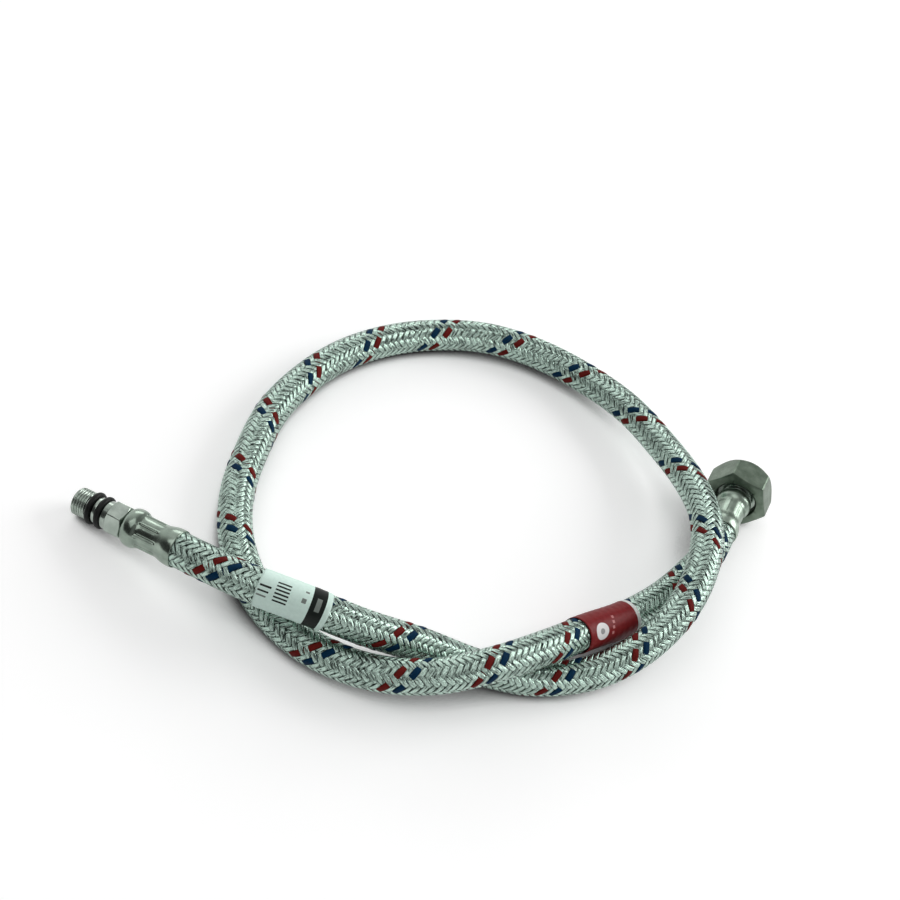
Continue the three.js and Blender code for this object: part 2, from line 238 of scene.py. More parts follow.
# Wrap labels, along the hose from the tail ferrule's mouth
WHITE_LABEL_ENDS = (30.0, 53.4)
RED_LABEL_ENDS = (702.5, 731.5)
LABEL_RADIUS = 6.4
LABEL_THICKNESS = 0.12
LABEL_OVERLAP = 24.0
LABEL_SEAM = 215.0
LABEL_COLUMNS = 97
LABEL_ROWS = 33
# The lapped end rises over the start, from a share of the lap and by a bit over one sheet
LAP_START_SHARE = 0.4
LAP_RISE_TURN = 300.0
LAP_LIFT = 1.3
WRINKLE_HEIGHT = 0.035
WRINKLE_RUN = 1.9
# The distance that a label's v of 1 stands for, and where the red label's v starts
LABEL_V_SPAN = 100.0
RED_LABEL_ORIGIN = 700.0
# The printed disc: its stretch along the hose and the share of it that is core
DISC_SQUEEZE = 0.88
DISC_CORE = 0.34


# Materials: noise in features to the metre, bumps in metres
WIRE_TONE_RUN = 9.0
WIRE_TONE_SCALE = 2.3
WIRE_TONE_DETAIL = 1.5
STRAND_TONE_RUN = 8.0
WIRE_ROUGHNESS_SPREAD = 0.3
WIRE_BUMP = 0.00009
METAL_BLOTCHES = 260.0
METAL_ROUGHNESS_SPREAD = 0.16
DRAW_MARKS = 900.0
DRAW_MARK_STRETCH = (1.0, 0.04, 1.0)
RUBBER_PATCHES = 420.0
RUBBER_SPECULAR = 0.22
PAPER_FIBRES = 900.0
PAPER_WEAVE = 420.0
PAPER_BUMP = 0.00012
PAPER_ROUGHNESS = 0.42
PAPER_SPECULAR = 0.15


# Curves and frames


def catmull_rom(points, count):
    """A centripetal Catmull-Rom curve through the points, as three.js draws it."""
    points = np.asarray(points, float)
    last = len(points) - 1
    found = []
    for step in range(count + 1):
        place = last * step / count
        index = min(int(place), last - 1)
        t = place - index
        b = points[index]
        c = points[index + 1]
        a = points[index - 1] if index > 0 else 2 * points[0] - points[1]
        d = points[index + 2] if index + 2 <= last else 2 * points[-1] - points[-2]
        ab = ((a - b) @ (a - b)) ** 0.25
        bc = ((b - c) @ (b - c)) ** 0.25
        cd = ((c - d) @ (c - d)) ** 0.25
        leave = ((b - a) / ab - (c - a) / (ab + bc) + (c - b) / bc) * bc
        arrive = ((c - b) / bc - (d - b) / (bc + cd) + (d - c) / cd) * bc
        found.append(
            b
            + leave * t
            + (3 * (c - b) - 2 * leave - arrive) * t**2
            + (2 * (b - c) + leave + arrive) * t**3
        )
    return np.array(found)


def unit(v):
    return v / np.linalg.norm(v, axis=-1, keepdims=True)


tail_direction = np.array(
    [
        math.cos(TAIL_HEADING) * math.cos(TAIL_DIP),
        math.sin(TAIL_HEADING) * math.cos(TAIL_DIP),
        -math.sin(TAIL_DIP),
    ]
)
tail_mouth = TAIL_MOUTH - FOOTPRINT_MIDDLE
nut_mouth = NUT_MOUTH - FOOTPRINT_MIDDLE


class Hose:
    """The hose's centre line with a twist-free frame at every distance along it."""

    def __init__(self, spare, spacing):
        between = [np.array([x, y, HOSE_RADIUS + lift]) for x, y, lift in ROUTE]
        knots = [p - FOOTPRINT_MIDDLE for p in between]
        knots = [tail_mouth, tail_mouth - STRAIGHT_RUN * tail_direction] + knots
        knots += [nut_mouth - STRAIGHT_RUN * NUT_DIRECTION, nut_mouth]
        line = catmull_rom(knots, CURVE_STEPS)
        steps = np.linalg.norm(np.diff(line, axis=0), axis=1)
        reached = np.concatenate([[0], np.cumsum(steps)])
        self.length = reached[-1]
        count = int(self.length / spacing)
        inside = np.linspace(0, self.length, count + 1)
        along = [np.interp(inside, reached, line[:, axis]) for axis in range(3)]
        start = tail_mouth + spare * tail_direction
        end = nut_mouth + spare * NUT_DIRECTION
        self.centre = np.vstack([start, np.column_stack(along), end])
        self.distance = np.concatenate([[-spare], inside, [self.length + spare]])
        self.tangent = unit(np.gradient(self.centre, self.distance, axis=0))
        self.normal = self.carried_normals()
        self.binormal = np.cross(self.tangent, self.normal)

    def carried_normals(self):
        normal = np.zeros_like(self.tangent)
        first = np.array([0, 0, 1.0]) - self.tangent[0] * self.tangent[0][2]
        normal[0] = unit(first)
        for k in range(1, len(normal)):
            kept = normal[k - 1] - self.tangent[k] * (normal[k - 1] @ self.tangent[k])
            normal[k] = unit(kept)
        return normal

    def at(self, distance, values):
        columns = [np.interp(distance, self.distance, values[:, a]) for a in range(3)]
        return np.stack(columns, axis=-1)

    def outward(self, distance, angle):
        """The direction out from the centre line at an angle, in radians."""
        normal = self.at(distance, self.normal)
        binormal = self.at(distance, self.binormal)
        return unit(np.cos(angle)[..., None] * normal + np.sin(angle)[..., None] * binormal)

    def point(self, distance, angle, radius):
        out = self.outward(distance, angle)
        return self.at(distance, self.centre) + np.asarray(radius)[..., None] * out


hose = Hose(spare=SPARE_RUN, spacing=LINE_SPACING)


# Materials


def new_material(name):
    material = bpy.data.materials.new(name)
    material.use_nodes = True
    nodes = material.node_tree.nodes
    return material, nodes, material.node_tree.links, nodes["Principled BSDF"]


def math_node(nodes, links, operation, first, second=None, third=None):
    node = nodes.new("ShaderNodeMath")
    node.operation = operation
    for socket, value in zip(node.inputs, (first, second, third)):
        if value is None:
            continue
        if isinstance(value, (int, float)):
            socket.default_value = value
        else:
            links.new(value, socket)
    return node.outputs[0]


def uv_parts(nodes, links):
    uv = nodes.new("ShaderNodeUVMap").outputs[0]
    split = nodes.new("ShaderNodeSeparateXYZ")
    links.new(uv, split.inputs[0])
    return split.outputs[0], split.outputs[1]


def ramp_node(nodes, links, value, stops):
    node = nodes.new("ShaderNodeValToRGB")
    ramp = node.color_ramp
    while len(ramp.elements) < len(stops):
        ramp.elements.new(0.5)
    for element, (place, colour) in zip(ramp.elements, stops):
        element.position = place
        element.color = (*colour, 1)
    links.new(value, node.inputs[0])
    return node.outputs[0]


def noise_node(nodes, links, scale, detail=3.0, stretch=None):
    """Noise in the object's own coordinates, in features to the metre."""
    place = nodes.new("ShaderNodeTexCoord").outputs["Object"]
    if stretch:
        mapping = nodes.new("ShaderNodeMapping")
        mapping.inputs["Scale"].default_value = stretch
        links.new(place, mapping.inputs["Vector"])
        place = mapping.outputs[0]
    noise = nodes.new("ShaderNodeTexNoise")
    noise.inputs["Scale"].default_value = scale
    noise.inputs["Detail"].default_value = detail
    links.new(place, noise.inputs["Vector"])
    return noise.outputs["Fac"]


def bump_node(nodes, links, height, distance, under=None):
    bump = nodes.new("ShaderNodeBump")
    bump.inputs["Strength"].default_value = 1.0
    bump.inputs["Distance"].default_value = distance
    links.new(height, bump.inputs["Height"])
    if under is not None:
        links.new(under, bump.inputs["Normal"])
    return bump.outputs[0]


def wire_material(name, groove, crest, metallic, roughness, contrast, specular):
    """A carrier's parallel wires: u runs across the carrier and v along it, in turns.

    contrast sets how far the wires, and stretches of a carrier, differ in tone, partly at
    random and partly as painted glints.
    Each wire's colour falls to the groove colour at its edges, as painted shade between the
    wires.
    """
    material, nodes, links, shader = new_material(name)
    shader.inputs["Metallic"].default_value = metallic
    u, v = uv_parts(nodes, links)
    across = math_node(nodes, links, "MULTIPLY", u, WIRES_PER_CARRIER)
    part = math_node(nodes, links, "FRACT", across)
    centred = math_node(nodes, links, "MULTIPLY_ADD", part, 2.0, -1.0)
    square = math_node(nodes, links, "MULTIPLY", centred, centred)
    section = math_node(nodes, links, "SUBTRACT", 1.0, square)
    height = math_node(nodes, links, "SQRT", section)
    wire = math_node(nodes, links, "FLOOR", across)
    spot = nodes.new("ShaderNodeCombineXYZ")
    links.new(wire, spot.inputs[0])
    links.new(math_node(nodes, links, "MULTIPLY", v, WIRE_TONE_RUN), spot.inputs[1])
    tone = nodes.new("ShaderNodeTexNoise")
    tone.inputs["Scale"].default_value = WIRE_TONE_SCALE
    tone.inputs["Detail"].default_value = WIRE_TONE_DETAIL
    links.new(spot.outputs[0], tone.inputs["Vector"])
    tone_value = tone.outputs["Fac"]
    # Tone of each wire and of each stretch of carrier: partly random, partly painted glints
    shade = math_node(
        nodes, links, "MULTIPLY_ADD", tone_value, contrast, -contrast / 2
    )
    run = nodes.new("ShaderNodeCombineXYZ")
    links.new(math_node(nodes, links, "MULTIPLY", v, STRAND_TONE_RUN), run.inputs[0])
    strand = nodes.new("ShaderNodeTexNoise")
    strand.inputs["Scale"].default_value = 1.0
    strand.inputs["Detail"].default_value = 1.0
    links.new(run.outputs[0], strand.inputs["Vector"])
    strand_shade = math_node(
        nodes, links, "MULTIPLY_ADD", strand.outputs["Fac"], contrast / 2, -contrast / 4
    )
    shade = math_node(nodes, links, "ADD", shade, strand_shade)
    level = math_node(nodes, links, "ADD", section, shade)
    # From the groove colour at each wire's edge, painted shade between the wires, to the crest
    # colour on top
    colour = ramp_node(nodes, links, level, [(0.05, groove), (0.8, crest)])
    links.new(colour, shader.inputs["Base Color"])
    shader.inputs["Specular IOR Level"].default_value = specular
    spread = WIRE_ROUGHNESS_SPREAD
    rough = math_node(
        nodes, links, "MULTIPLY_ADD", tone_value, spread, roughness - spread / 2
    )
    links.new(rough, shader.inputs["Roughness"])
    links.new(bump_node(nodes, links, height, WIRE_BUMP), shader.inputs["Normal"])
    return material


def metal_material(name, dark, light, roughness, grain, grain_scale, streaks=0.0):
    """Plated metal with a fine grain, faint blotches and, if wanted, fine draw marks."""
    material, nodes, links, shader = new_material(name)
    shader.inputs["Metallic"].default_value = 1.0
    blotch = noise_node(nodes, links, METAL_BLOTCHES, 4.0)
    colour = ramp_node(nodes, links, blotch, [(0.3, dark), (0.7, light)])
    links.new(colour, shader.inputs["Base Color"])
    fine = noise_node(nodes, links, grain_scale, 2.0)
    spread = METAL_ROUGHNESS_SPREAD
    rough = math_node(nodes, links, "MULTIPLY_ADD", fine, spread, roughness - spread / 2)
    links.new(rough, shader.inputs["Roughness"])
    normal = bump_node(nodes, links, fine, grain)
    if streaks:
        marks = noise_node(nodes, links, DRAW_MARKS, 2.0, stretch=DRAW_MARK_STRETCH)
        normal = bump_node(nodes, links, marks, streaks, under=normal)
    links.new(normal, shader.inputs["Normal"])
    return material


def rubber_material(name, dark, light, roughness, grain_scale, grain):
    """Rubber or fibre with faint patches and a grain."""
    material, nodes, links, shader = new_material(name)
    patches = noise_node(nodes, links, RUBBER_PATCHES, 3.0)
    colour = ramp_node(nodes, links, patches, [(0.35, dark), (0.7, light)])
    links.new(colour, shader.inputs["Base Color"])
    shader.inputs["Roughness"].default_value = roughness
    shader.inputs["Specular IOR Level"].default_value = RUBBER_SPECULAR
    fine = noise_node(nodes, links, grain_scale, 2.0)
    links.new(bump_node(nodes, links, fine, grain), shader.inputs["Normal"])
    return material


def mix_colour(nodes, links, factor, first, second):
    node = nodes.new("ShaderNodeMix")
    node.data_type = "RGBA"
    links.new(factor, node.inputs[0])
    for socket, value in ((node.inputs[6], first), (node.inputs[7], second)):
        if isinstance(value, tuple):
            socket.default_value = (*value, 1)
        else:
            links.new(value, socket)
    return node.outputs[2]


def box_mask(nodes, links, u, v, box):
    """One where the label's place lies in a box of angle and distance, zero outside."""
    low_u, high_u, low_v, high_v = box
    inside = math_node(nodes, links, "GREATER_THAN", u, low_u)
    for value, operation, edge in (
        (u, "LESS_THAN", high_u),
        (v, "GREATER_THAN", low_v),
        (v, "LESS_THAN", high_v),
    ):
        step = math_node(nodes, links, operation, value, edge)
        inside = math_node(nodes, links, "MULTIPLY", inside, step)
    return inside


def label_material(name, paper, worn, marks, disc=None):
    """Coated paper with print.

    marks are boxes of (angle, angle, distance, distance, colour), of print or painted glint,
    and disc is (angle, distance, radius, colour, colour of its core).
    """
    material, nodes, links, shader = new_material(name)
    u, v = uv_parts(nodes, links)
    u = math_node(nodes, links, "MULTIPLY", u, FULL_TURN)
    v = math_node(nodes, links, "MULTIPLY", v, LABEL_V_SPAN)
    fibres = noise_node(nodes, links, PAPER_FIBRES, 4.0)
    colour = ramp_node(nodes, links, fibres, [(0.3, worn), (0.65, paper)])
    for *box, mark_colour in marks:
        colour = mix_colour(nodes, links, box_mask(nodes, links, u, v, box), colour, mark_colour)
    if disc:
        centre_u, centre_v, radius, mark_colour, core = disc
        arc = math_node(nodes, links, "SUBTRACT", u, centre_u)
        arc = math_node(nodes, links, "MULTIPLY", arc, math.radians(LABEL_RADIUS))
        arc = math_node(nodes, links, "POWER", arc, 2.0)
        run = math_node(nodes, links, "SUBTRACT", v, centre_v)
        run = math_node(nodes, links, "MULTIPLY", run, DISC_SQUEEZE)
        run = math_node(nodes, links, "POWER", run, 2.0)
        away = math_node(nodes, links, "ADD", arc, run)
        whole = math_node(nodes, links, "LESS_THAN", away, radius**2)
        colour = mix_colour(nodes, links, whole, colour, mark_colour)
        middle = math_node(nodes, links, "LESS_THAN", away, (DISC_CORE * radius) ** 2)
        colour = mix_colour(nodes, links, middle, colour, core)
    links.new(colour, shader.inputs["Base Color"])
    shader.inputs["Roughness"].default_value = PAPER_ROUGHNESS
    shader.inputs["Specular IOR Level"].default_value = PAPER_SPECULAR
    weave = noise_node(nodes, links, PAPER_WEAVE, 2.0)
    links.new(bump_node(nodes, links, weave, PAPER_BUMP), shader.inputs["Normal"])
    return material


# Each wire material's first colour is painted shade in the grooves between wires, the second
# the wire's own colour
steel = wire_material(
    "steel_wire", (0.014, 0.022, 0.018), (0.57, 0.74, 0.65), 1.0, 0.22, 3.6, 0.25
)
red_wire = wire_material(
    "red_wire", (0.06, 0.005, 0.004), (0.17, 0.013, 0.01), 0.0, 0.55, 1.4, 0.06
)
blue_wire = wire_material(
    "blue_wire", (0.0005, 0.007, 0.018), (0.001, 0.033, 0.085), 0.0, 0.55, 1.4, 0.06
)
crimped = metal_material(
    "crimped_steel", (0.21, 0.26, 0.22), (0.33, 0.4, 0.34), 0.2, 0.000008, 2600.0, 0.00001
)
# A rougher copy of the crimped steel for the nut's ferrule, made lighter as a painted brighter
# highlight
crimped_dull_lit = metal_material(
    "crimped_dull_lit", (0.23, 0.29, 0.24), (0.37, 0.45, 0.38), 0.32, 0.000008, 2600.0, 0.00001
)
plated = metal_material(
    "nickel_plate", (0.3, 0.35, 0.31), (0.42, 0.48, 0.43), 0.2, 0.000008, 2600.0
)
nut_metal = metal_material(
    "nut_nickel", (0.1, 0.135, 0.1), (0.19, 0.24, 0.19), 0.38, 0.00007, 3000.0
)
seal_rubber = rubber_material(
    "seal_rubber", (0.003, 0.004, 0.0035), (0.008, 0.01, 0.009), 0.45, 2400.0, 0.00002
)
hose_rubber = rubber_material(
    "hose_rubber", (0.008, 0.01, 0.009), (0.016, 0.02, 0.018), 0.6, 1800.0, 0.00004
)
washer_fibre = rubber_material(
    "washer_fibre", (0.02, 0.022, 0.021), (0.04, 0.043, 0.041), 0.7, 1800.0, 0.00006
)

INK = (0.008, 0.012, 0.01)
GREY_INK = (0.2, 0.23, 0.21)
# Pale rose for painted glints on the red label
ROSE_GLINT = (0.5, 0.2, 0.2)
PALE_EDGE = (0.7, 0.72, 0.7)
# Past a whole turn, for a band that goes all the way round
ALL_ROUND = 400
BAR_COUNT = 6
BAR_FIRST = 4
BAR_PITCH = 11
BAR_WIDTH = 5
BAR_ENDS = (35.7, 40.2)
white_marks = [(-ALL_ROUND, ALL_ROUND, 47.0, 51.6, INK)]
for bar in range(BAR_COUNT):
    bar_start = BAR_FIRST + BAR_PITCH * bar
    white_marks.append((bar_start, bar_start + BAR_WIDTH, *BAR_ENDS, INK))
white_marks += [
    (28, 34, 30.6, 34.4, INK),
    (44, 49, 30.4, 34.0, INK),
    (58, 63, 30.4, 33.6, GREY_INK),
    (26, 40, 44.2, 45.6, GREY_INK),
    (2, 8, 44.6, 45.8, GREY_INK),
    (10, 50, 48.6, 50.2, GREY_INK),
]
white_paper = label_material(
    "white_paper", (0.74, 0.93, 0.85), (0.68, 0.87, 0.79), white_marks
)

# Four small dashes across the hose, each set back from the one above it: painted glints along
# a crease in the red label
DASH_ANGLES = (14, 30, 46, 62)
DASH_WIDTH = 9
DASH_ENDS = (16.4, 17.6)
DASH_STEP_BACK = 0.6
red_marks = [
    (-ALL_ROUND, ALL_ROUND, 729.8 - RED_LABEL_ORIGIN, 734 - RED_LABEL_ORIGIN, PALE_EDGE)
]
for dash, angle in enumerate(DASH_ANGLES):
    dash_start, dash_end = (end - DASH_STEP_BACK * dash for end in DASH_ENDS)
    red_marks.append((angle, angle + DASH_WIDTH, dash_start, dash_end, ROSE_GLINT))
red_paper = label_material(
    "red_paper",
    (0.2, 0.008, 0.01),
    (0.155, 0.005, 0.007),
    red_marks,
    disc=(52.5, 9.5, 3.0, (0.74, 0.72, 0.72), (0.3, 0.3, 0.3)),
)


# Mesh makers


def mesh_piece(name, vertices, faces, material, uvs=None):
    """A smooth-shaded object from vertices in millimetres, with a UV for each vertex."""
    mesh = bpy.data.meshes.new(name)
    mesh.from_pydata((np.asarray(vertices) * MM).tolist(), [], faces)
    mesh.materials.append(material)
    if uvs is not None:
        layer = mesh.uv_layers.new(name="UVMap")
        corners = np.zeros(len(mesh.loops), np.int32)
        mesh.loops.foreach_get("vertex_index", corners)
        layer.data.foreach_set("uv", np.asarray(uvs, np.float32)[corners].ravel())
    mesh.polygons.foreach_set("use_smooth", [True] * len(mesh.polygons))
    mesh.validate()
    piece = bpy.data.objects.new(name, mesh)
    bpy.context.scene.collection.objects.link(piece)
    return piece


def ring_faces(rows, sides, closed_rows=True):
    """Quads between rows of points that each close on themselves."""
    found = []
    last = rows if closed_rows else rows - 1
    for row in range(last):
        low = row * sides
        high = ((row + 1) % rows) * sides
        for side in range(sides):
            after = (side + 1) % sides
            found.append((low + side, low + after, high + after, high + side))
    return found


def rounded(corners):
    """A closed outline of (radius, z, fillet) corners with each fillet drawn as an arc."""
    found = []
    count = len(corners)
    for k, (r, z, fillet) in enumerate(corners):
        here = np.array([r, z])
        before = np.array(corners[k - 1][:2]) - here
        after = np.array(corners[(k + 1) % count][:2]) - here
        if not fillet:
            found.append(here)
            continue
        before_length = np.linalg.norm(before)
        after_length = np.linalg.norm(after)
        turn = math.acos(np.clip(before @ after / (before_length * after_length), -1, 1))
        cut = fillet / math.tan(turn / 2)
        cut = min(cut, 0.45 * before_length, 0.45 * after_length)
        start = here + before / before_length * cut
        end = here + after / after_length * cut
        for share in ARC_SHARES:
            low = start * (1 - share) + here * share
            high = here * (1 - share) + end * share
            found.append(low * (1 - share) + high * share)
    return found


def fitting_axes(direction):
    """The axes that three.js gives a frame whose Z is turned from up to a direction."""
    turn = Vector((0, 0, 1)).rotation_difference(Vector(direction))
    return np.array(turn.to_matrix())


def placed(points, mouth, axes):
    """Points of a fitting's own frame, set at a ferrule's mouth."""
    return points @ axes.T + mouth


def turned_piece(name, rows, angles, mouth, axes, material):
    """A closed turned form. Each row is (radius, z), numbers or one value for each angle."""
    vertices = []
    for radius, z in rows:
        radius = np.broadcast_to(radius, angles.shape)
        z = np.broadcast_to(z, angles.shape)
        vertices.append(
            np.column_stack([radius * np.cos(angles), radius * np.sin(angles), z])
        )
    points = placed(np.vstack(vertices), mouth, axes)
    piece = mesh_piece(name, points, ring_faces(len(rows), len(angles)), material)
    shading = piece.modifiers.new("weighted", "WEIGHTED_NORMAL")
    shading.keep_sharp = True
    return piece


def even_angles(count):
    return np.arange(count) * 2 * math.pi / count


def hexagon_radius(angles, apothem, corner, turn):
    """How far a hexagon with rounded corners reaches at each angle."""
    sixth = math.pi / 3
    off = (angles - math.radians(turn) + sixth) % sixth
    from_corner = np.minimum(off, sixth - off)
    from_flat = sixth / 2 - from_corner
    centre = (apothem - corner) / math.cos(sixth / 2)
    arc = np.abs(apothem * np.tan(from_flat)) > (apothem - corner) * math.tan(sixth / 2)
    inside = np.maximum(corner**2 - (centre * np.sin(from_corner)) ** 2, 0)
    rounded_corner = centre * np.cos(from_corner) + np.sqrt(inside)
    return np.where(arc, rounded_corner, apothem / np.cos(from_flat))


def hexagon_angles(even, turn):
    angles = list(even_angles(even))
    for corner in range(6):
        middle = math.radians(turn) + corner * math.pi / 3
        for step in CORNER_STEPS:
            angles.append((middle + math.radians(step)) % (2 * math.pi))
    return np.array(sorted(set(np.round(angles, 5))))


def hexagon_rows(angles, apothem, corner, turn, back, front, edge_break):
    """Rows along a hexagon with a bevel and a broken edge at each end.

    back and front are (z, radius, slope), and edge_break is the broken edge's width.
    """
    reach = hexagon_radius(angles, apothem, corner, turn)
    rows = []
    for (z, start, slope), sign in ((back, 1), (front, -1)):
        drop = np.maximum(reach - start, BEVEL_LEAST_REACH) * slope
        edge = z + sign * drop
        ends = [
            (np.full_like(angles, start), np.full_like(angles, z)),
            (
                start + (reach - edge_break - start) * (1 - BEVEL_SOFT_SHARE),
                z + sign * drop * (1 - BEVEL_SOFT_SHARE),
            ),
            (
                reach - EDGE_BREAK_SHARE * edge_break,
                edge + sign * EDGE_BREAK_SHARE * edge_break,
            ),
            (reach, edge + sign * edge_break),
        ]
        rows += ends if sign == 1 else ends[::-1]
    return rows


def thread_rows(angles, start, end, crest, depth, pitch, sign, step):
    """Rows of a right-hand thread: sign 1 cuts outwards from the crest, -1 inwards."""
    rows = []
    count = int(round((end - start) / step))
    for k in range(count + 1):
        z = start + (end - start) * k / count
        phase = (z / pitch - angles / (2 * math.pi)) % 1.0
        groove = THREAD_STEEPNESS * (1 - np.abs(2 * phase - 1) * THREAD_CREST_WIDTH)
        groove = np.clip(groove, 0, 1)
        fade = min(
            1.0,
            (z - start) / pitch + THREAD_END_DEPTH,
            (end - z) / pitch + THREAD_END_DEPTH,
        )
        rows.append((crest + sign * depth * groove * fade, z))
    return rows


# Hose: rubber tube and woven carriers


def lay_at(distance):
    places, turns = zip(*TRACER_LAY)
    return np.interp(distance, places, turns)


def twist_at(distance):
    places, degrees = zip(*HOSE_TWIST)
    return np.interp(distance, places, degrees)


def pattern_turns(distance):
    return lay_at(distance) + twist_at(distance) / FULL_TURN


lay_distance = np.arange(-BRAID_END - 1, hose.length + BRAID_END + 1, LINE_SPACING)
lay_turns = pattern_turns(lay_distance)


def carrier_mesh(hand, carrier, width, crown):
    """One carrier's vertices, faces and UVs. hand is 1 for right-hand, -1 for left."""
    share = carrier / CARRIERS_EACH_WAY
    offset = share + (0.5 / CARRIERS_EACH_WAY if hand == 1 else 0.0)
    low = math.floor(lay_turns[0] * SAMPLES_PER_TURN)
    high = math.ceil(lay_turns[-1] * SAMPLES_PER_TURN)
    shift = hand * offset * SAMPLES_PER_TURN % 1.0
    turns = (np.arange(low, high) - shift) / SAMPLES_PER_TURN
    distance = np.interp(turns, lay_turns, lay_distance)
    kept = (distance > -BRAID_END) & (distance < hose.length + BRAID_END)
    turns = turns[kept]
    distance = distance[kept]
    pattern = 2 * math.pi * (hand * turns + offset)
    weave = np.tanh(WEAVE_STEEPNESS * hand * np.cos(CARRIERS_EACH_WAY / 2 * pattern))
    weave /= math.tanh(WEAVE_STEEPNESS)
    angle = pattern + np.radians(twist_at(distance))
    radius = CARRIER_RADIUS + CARRIER_LIFT * weave
    line = hose.point(distance, angle, radius)
    run = unit(np.gradient(line, axis=0))
    out = hose.outward(distance, angle)
    side = unit(np.cross(run, out))
    up = np.cross(side, run)
    across = np.array(CARRIER_COLUMNS)
    columns = len(across)
    points = (
        line[:, None, :]
        + side[:, None, :] * (across * width / 2)[None, :, None]
        + up[:, None, :] * (crown * (1 - across**2))[None, :, None]
    )
    uvs = np.zeros((len(turns), columns, 2))
    uvs[..., 0] = (across / 2 + 0.5) * CARRIER_UV_WIDTH
    uvs[..., 1] = (turns + CARRIER_STEP * (carrier + 0.5 * hand))[:, None]
    rows = len(turns)
    faces = ring_faces(rows, columns, closed_rows=False)
    faces.append(tuple(reversed(range(columns))))
    faces.append(tuple(range(columns * (rows - 1), columns * rows)))
    return points.reshape(-1, 3), faces, uvs.reshape(-1, 2)


def carrier_piece(name, hand, carriers, material, width=CARRIER_WIDTH, crown=CARRIER_CROWN):
    vertices = []
    faces = []
    uvs = []
    count = 0
    for carrier in carriers:
        points, quads, places = carrier_mesh(hand, carrier, width, crown)
        vertices.append(points)
        uvs.append(places)
        faces += [tuple(corner + count for corner in face) for face in quads]
        count += len(points)
    piece = mesh_piece(name, np.vstack(vertices), faces, material, np.vstack(uvs))
    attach(piece, "hose")
    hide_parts("braid_sleeve")
    return piece


def rubber_tube():
    """The tube under the braid, narrowed inside the ferrules where it is crimped."""
    angles = even_angles(TUBE_SIDES)
    stations = np.concatenate(
        [
            [-CRIMPED_RUN, -CRIMP_END, -CRIMP_START],
            np.linspace(0, hose.length, TUBE_STATIONS),
            hose.length + np.array([CRIMP_START, CRIMP_END, CRIMPED_RUN]),
        ]
    )
    crimped_here = (stations < -CRIMP_LINE) | (stations > hose.length + CRIMP_LINE)
    outer = np.where(crimped_here, CRIMPED_RADIUS, TUBE_RADIUS)
    inner = np.where(crimped_here, CRIMPED_BORE, TUBE_BORE)
    order = list(zip(stations, outer))
    order += list(zip(stations[::-1], inner[::-1]))
    points = [
        hose.point(np.full(TUBE_SIDES, station), angles, np.full(TUBE_SIDES, radius))
        for station, radius in order
    ]
    faces = ring_faces(len(order), TUBE_SIDES)
    return mesh_piece("rubber_tube", np.vstack(points), faces, hose_rubber)


braid = [
    carrier_piece("braid_right_1", 1, range(0, CARRIERS_EACH_WAY, 2), steel),
    carrier_piece("braid_right_2", 1, range(1, CARRIERS_EACH_WAY, 2), steel),
    carrier_piece("braid_left_1", -1, (1, 3, 5, 7, 9), steel),
    carrier_piece("braid_left_2", -1, (4, 6, 8, 10, 11), steel),
    carrier_piece("tracer_red", -1, (RED_CARRIER,), red_wire, TRACER_WIDTH, TRACER_CROWN),
    carrier_piece("tracer_blue", -1, (BLUE_CARRIER,), blue_wire, TRACER_WIDTH, TRACER_CROWN),
]


# Fittings


def insert_corners():
    """The barbed insert's outline up to the neck, which the tail and the nipple share."""
    corners = [(BORE, FERRULE_BACK, 0.1), (INSERT_RADIUS - BARB_DEPTH, FERRULE_BACK, 0.1)]
    first = WAIST_BACK - BARB_PITCH
    for barb in range(BARB_COUNT):
        start = first + barb * BARB_PITCH
        corners.append((INSERT_RADIUS - BARB_DEPTH, start, 0.05))
        corners.append((INSERT_RADIUS, start + BARB_RISE * BARB_PITCH, 0.05))
        corners.append((INSERT_RADIUS, start + BARB_DROP * BARB_PITCH, 0.05))
    corners.append((INSERT_RADIUS - BARB_DEPTH, INSERT_END, 0.05))
    corners.append((NECK_RADIUS, INSERT_END, 0.1))
    return corners


def smooth_through(knots, places):
    """A smooth curve through (place, value) knots, read at the places."""
    at, values = (np.array(column, float) for column in zip(*knots))
    slopes = np.gradient(values, at)
    index = np.clip(np.searchsorted(at, places, side="right") - 1, 0, len(at) - 2)
    span = at[index + 1] - at[index]
    t = (places - at[index]) / span
    return (
        (2 * t**3 - 3 * t**2 + 1) * values[index]
        + (t**3 - 2 * t**2 + t) * span * slopes[index]
        + (-2 * t**3 + 3 * t**2) * values[index + 1]
        + (t**3 - t**2) * span * slopes[index + 1]
    )


